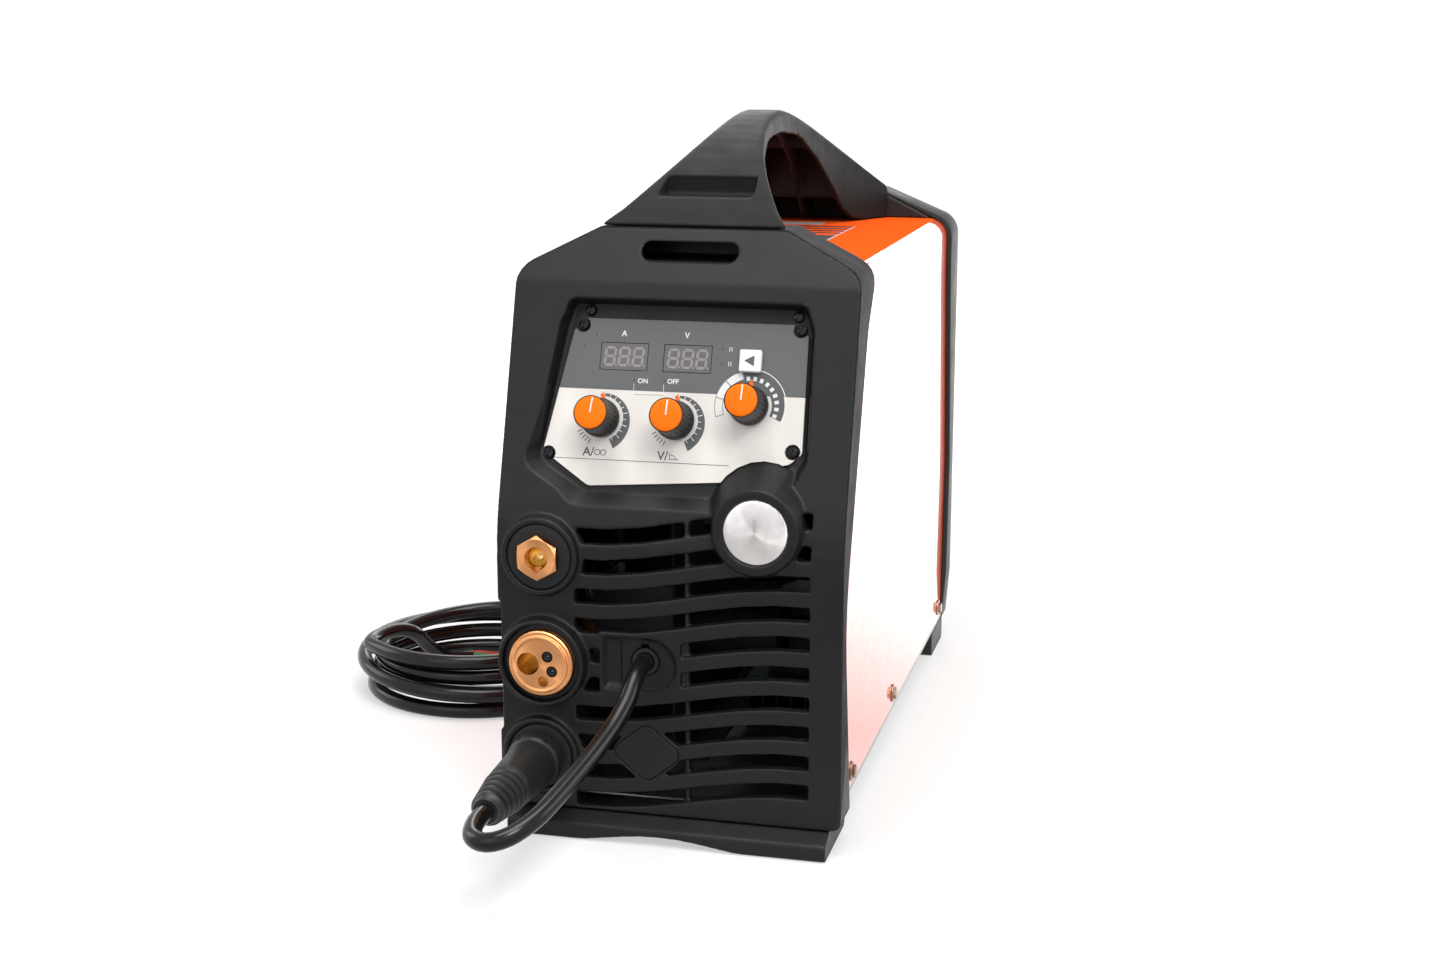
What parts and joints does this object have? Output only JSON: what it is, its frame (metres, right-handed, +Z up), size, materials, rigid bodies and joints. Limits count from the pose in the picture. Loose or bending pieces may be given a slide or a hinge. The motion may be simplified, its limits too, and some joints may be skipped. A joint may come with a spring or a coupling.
{
  "type": "welding machine",
  "caption": "Portable inverter welder: dark moulded front with knobs and sockets, orange sheet cover, arched handle, side door to the wire feed and two leads.",
  "frame": {"origin": "on the floor, under the centre of the machine without its leads", "axes": "+X to the right as seen from the front, -Y out of the front face, +Z up"},
  "size_m": [0.4198, 0.7314, 0.432],
  "materials": {
    "charcoal_plastic": "fine moulded grain",
    "black_plastic": "satin",
    "black_rubber": "smooth",
    "orange_paint": "gloss",
    "orange_plastic": "satin",
    "silver_film": "brushed film",
    "white_plastic": "satin",
    "brass": "machined",
    "zinc_steel": "zinc plated",
    "aluminium": "extruded",
    "circuit_board": "solder mask",
    "ferrite": "sintered",
    "core_insulation": "smooth"
  },
  "bodies": {
    "case": {"front_bezel": "charcoal_plastic", "blank_cover": "charcoal_plastic", "handle": "charcoal_plastic", "front_foot": "charcoal_plastic", "upper_socket_ring": "black_plastic", "torch_socket_ring": "black_plastic", "torch_socket_pins": "black_plastic", "lower_socket_ring": "black_plastic", "rear_foot": "black_plastic", "rear_panel": "black_plastic", "lead_grommet": "black_rubber", "polarity_plug_boot": "black_rubber", "polarity_lead": "black_rubber", "mains_gland": "black_rubber", "mains_lead": "black_rubber", "mains_coil": "black_rubber", "mains_tail": "black_rubber", "top_cover": "orange_paint", "control_overlay": "silver_film", "badge_disc": "silver_film", "upper_socket_contact": "brass", "torch_socket_body": "brass", "lower_socket_contact": "brass", "polarity_plug_pin": "brass", "gas_inlet": "brass", "overlay_screw_1": "zinc_steel", "overlay_screw_2": "zinc_steel", "overlay_screw_3": "zinc_steel", "overlay_screw_4": "zinc_steel", "bezel_screw_left": "zinc_steel", "bezel_screw_right": "zinc_steel", "hinge_pin": "zinc_steel", "base_tray": "zinc_steel", "cover_screw_front": "zinc_steel", "cover_screw_middle": "zinc_steel", "cover_screw_rear": "zinc_steel", "partition": "zinc_steel", "feed_motor": "zinc_steel", "feed_block": "aluminium", "heatsink": "aluminium", "control_board": "circuit_board", "power_board": "circuit_board", "transformer": "ferrite", "mains_cores": "core_insulation"},
    "current_knob": {"current_knob": "black_plastic", "current_knob_cap": "orange_plastic"},
    "voltage_knob": {"voltage_knob": "black_plastic", "voltage_knob_cap": "orange_plastic"},
    "mode_knob": {"mode_knob": "black_plastic", "mode_knob_cap": "orange_plastic"},
    "mode_button": {"mode_button": "white_plastic"},
    "door": {"side_door": "orange_paint"},
    "latch": {"door_latch": "black_plastic"},
    "switch": {"switch_rocker": "black_plastic"},
    "fan": {"fan_rotor": "black_plastic"},
    "hub": {"spool_hub": "black_plastic"},
    "drive_roll": {"drive_roll": "zinc_steel"},
    "pressure_arm": {"pressure_arm": "aluminium"},
    "pressure_roll": {"pressure_roll": "zinc_steel"},
    "tension_knob": {"tension_knob": "black_plastic"}
  },
  "joints": [
    {"name": "current_knob_turn", "type": "hinge", "parent": "case", "child": "current_knob", "pos_m": [-0.0482, -0.20526, 0.25489], "axis": [0, -0.9455, 0.3256], "range_deg": [-150, 150]},
    {"name": "voltage_knob_turn", "type": "hinge", "parent": "case", "child": "voltage_knob", "pos_m": [-0.0016, -0.20506, 0.25546], "axis": [0, -0.9455, 0.3256], "range_deg": [-150, 150]},
    {"name": "mode_knob_turn", "type": "hinge", "parent": "case", "child": "mode_knob", "pos_m": [0.0429, -0.20155, 0.26567], "axis": [0, -0.9455, 0.3256], "range_deg": [-90, 105]},
    {"name": "mode_button_press", "type": "slide", "parent": "case", "child": "mode_button", "axis": [0, 0.9455, -0.3256], "range_m": [0, 0.001], "stiffness_N_per_m": 800},
    {"name": "door_swing", "type": "hinge", "parent": "case", "child": "door", "pos_m": [-0.102, 0.0055, 0.326], "axis": [0, 1, 0], "range_deg": [0, 100]},
    {"name": "latch_turn", "type": "hinge", "parent": "door", "child": "latch", "pos_m": [-0.104, 0.005, 0.078], "axis": [-1, 0, 0], "range_deg": [0, 90]},
    {"name": "switch_tilt", "type": "hinge", "parent": "case", "child": "switch", "pos_m": [-0.06, 0.235, 0.29], "axis": [-1, 0, 0], "range_deg": [0, 20]},
    {"name": "fan_spin", "type": "hinge", "parent": "case", "child": "fan", "pos_m": [0.043, 0.22, 0.205], "axis": [0, 1, 0], "continuous": true},
    {"name": "hub_spin", "type": "hinge", "parent": "case", "child": "hub", "pos_m": [-0.05, 0.06, 0.205], "axis": [1, 0, 0], "continuous": true},
    {"name": "drive_roll_spin", "type": "hinge", "parent": "case", "child": "drive_roll", "pos_m": [-0.0847, -0.105, 0.0967], "axis": [1, 0, 0], "continuous": true},
    {"name": "pressure_arm_lift", "type": "hinge", "parent": "case", "child": "pressure_arm", "pos_m": [-0.0778, -0.1335, 0.1265], "axis": [1, 0, 0], "range_deg": [0, 50]},
    {"name": "pressure_roll_spin", "type": "hinge", "parent": "pressure_arm", "child": "pressure_roll", "pos_m": [-0.0847, -0.105, 0.1227], "axis": [1, 0, 0], "continuous": true},
    {"name": "tension_knob_turn", "type": "hinge", "parent": "pressure_arm", "child": "tension_knob", "pos_m": [-0.0778, -0.076, 0.14], "axis": [0, 0, 1], "range_deg": [-360, 360]}
  ],
  "couplings": [
    {"joint": "pressure_roll_spin", "follows": "drive_roll_spin", "ratio": -1}
  ]
}
